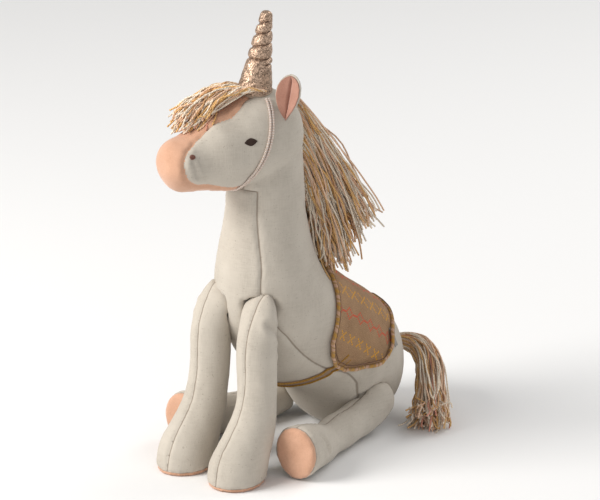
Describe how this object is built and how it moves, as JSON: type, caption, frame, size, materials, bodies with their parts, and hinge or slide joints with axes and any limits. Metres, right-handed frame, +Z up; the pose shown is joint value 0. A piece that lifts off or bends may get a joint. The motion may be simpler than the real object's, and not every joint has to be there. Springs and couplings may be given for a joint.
{
  "type": "plush unicorn",
  "caption": "Seated stuffed unicorn toy with sewn linen skin, yarn mane and tail, soft horn on an elastic, saddle blanket and jointed floppy legs.",
  "frame": {"origin": "on the flat seat under the rump, on the floor and on the plane between left and right", "axes": "+Z up, the unicorn faces -Y, its left side is +X"},
  "size_m": [0.1871, 0.3084, 0.4274],
  "materials": {
    "linen": "matte woven linen",
    "peach_velour": "short soft pile",
    "stuffing": "loose polyester fibre",
    "horn_metallic_fabric": "rose-gold glitter fabric",
    "winding_thread": "fine thread",
    "base_felt": "felt",
    "metallic_elastic": "shiny thin cord",
    "blanket_knit": "heathered jacquard knit",
    "mustard_trim": "stitched cotton tape",
    "label_tape": "blank woven tape",
    "ear_lining_velour": "short soft pile",
    "embroidery_thread": "satin stitch thread",
    "hair_yarn": "twisted cotton yarn"
  },
  "bodies": {
    "torso": {"left_body_panel": "linen", "right_body_panel": "linen", "chest_belly_panel": "linen", "body_stuffing": "stuffing", "saddle_blanket": "blanket_knit", "blanket_binding": "mustard_trim", "girth_strap": "mustard_trim", "side_label": "label_tape"},
    "head": {"left_head_panel": "linen", "right_head_panel": "linen", "face_gusset": "peach_velour", "head_stuffing": "stuffing", "left_eye": "embroidery_thread", "right_eye": "embroidery_thread", "left_nostril": "embroidery_thread", "right_nostril": "embroidery_thread", "mane_yarn": "hair_yarn"},
    "left_ear": {"left_ear_back": "linen", "left_ear_lining": "ear_lining_velour"},
    "right_ear": {"right_ear_back": "linen", "right_ear_lining": "ear_lining_velour"},
    "horn": {"horn_cover": "horn_metallic_fabric", "horn_stuffing": "stuffing", "horn_thread": "winding_thread", "horn_base": "base_felt", "horn_elastic": "metallic_elastic"},
    "forelock": {"forelock_yarn": "hair_yarn"},
    "left_front_leg": {"left_front_leg_outer": "linen", "left_front_leg_inner": "linen", "left_front_sole": "peach_velour", "left_front_leg_stuffing": "stuffing"},
    "left_hind_leg": {"left_hind_leg_outer": "linen", "left_hind_leg_inner": "linen", "left_hind_sole": "peach_velour", "left_hind_leg_stuffing": "stuffing"},
    "right_front_leg": {"right_front_leg_outer": "linen", "right_front_leg_inner": "linen", "right_front_sole": "peach_velour", "right_front_leg_stuffing": "stuffing"},
    "right_hind_leg": {"right_hind_leg_outer": "linen", "right_hind_leg_inner": "linen", "right_hind_sole": "peach_velour", "right_hind_leg_stuffing": "stuffing"},
    "tail": {"tail_yarn": "hair_yarn", "tail_binding": "hair_yarn"}
  },
  "joints": [
    {"name": "neck_turn", "type": "hinge", "parent": "torso", "child": "head", "pos_m": [0, -0.104, 0.247], "axis": [0, 0, 1], "range_deg": [-15, 35]},
    {"name": "left_ear_flop", "type": "hinge", "parent": "head", "child": "left_ear", "pos_m": [0.03195, -0.11407, 0.3395], "axis": [0.9763, 0.2164, 0], "range_deg": [-10, 20], "stiffness_Nm_per_rad": 0.02},
    {"name": "right_ear_flop", "type": "hinge", "parent": "head", "child": "right_ear", "pos_m": [-0.03195, -0.09393, 0.3395], "axis": [0.6756, -0.7373, 0], "range_deg": [-10, 20], "stiffness_Nm_per_rad": 0.02},
    {"name": "horn_pull", "type": "slide", "parent": "head", "child": "horn", "axis": [0.0548, 0.1738, 0.9833], "range_m": [0, 0.012], "stiffness_N_per_m": 60, "deforming": ["horn_elastic"]},
    {"name": "forelock_lift", "type": "hinge", "parent": "head", "child": "forelock", "pos_m": [-0.01369, -0.13743, 0.3555], "axis": [-0.6723, 0.7403, 0], "range_deg": [0, 45]},
    {"name": "left_front_leg_swing", "type": "hinge", "parent": "torso", "child": "left_front_leg", "pos_m": [0.027, -0.141, 0.157], "axis": [-1, 0, 0], "range_deg": [0, 55]},
    {"name": "right_front_leg_swing", "type": "hinge", "parent": "torso", "child": "right_front_leg", "pos_m": [-0.027, -0.141, 0.157], "axis": [-1, 0, 0], "range_deg": [0, 55]},
    {"name": "left_hind_leg_swing", "type": "hinge", "parent": "torso", "child": "left_hind_leg", "pos_m": [0.049, -0.004, 0.029], "axis": [1, 0, 0], "range_deg": [0, 80]},
    {"name": "right_hind_leg_swing", "type": "hinge", "parent": "torso", "child": "right_hind_leg", "pos_m": [-0.049, -0.004, 0.029], "axis": [1, 0, 0], "range_deg": [0, 80]},
    {"name": "tail_swing", "type": "hinge", "parent": "torso", "child": "tail", "pos_m": [0.002, 0.071, 0.057], "axis": [0, 0, 1], "range_deg": [0, 80]}
  ]
}
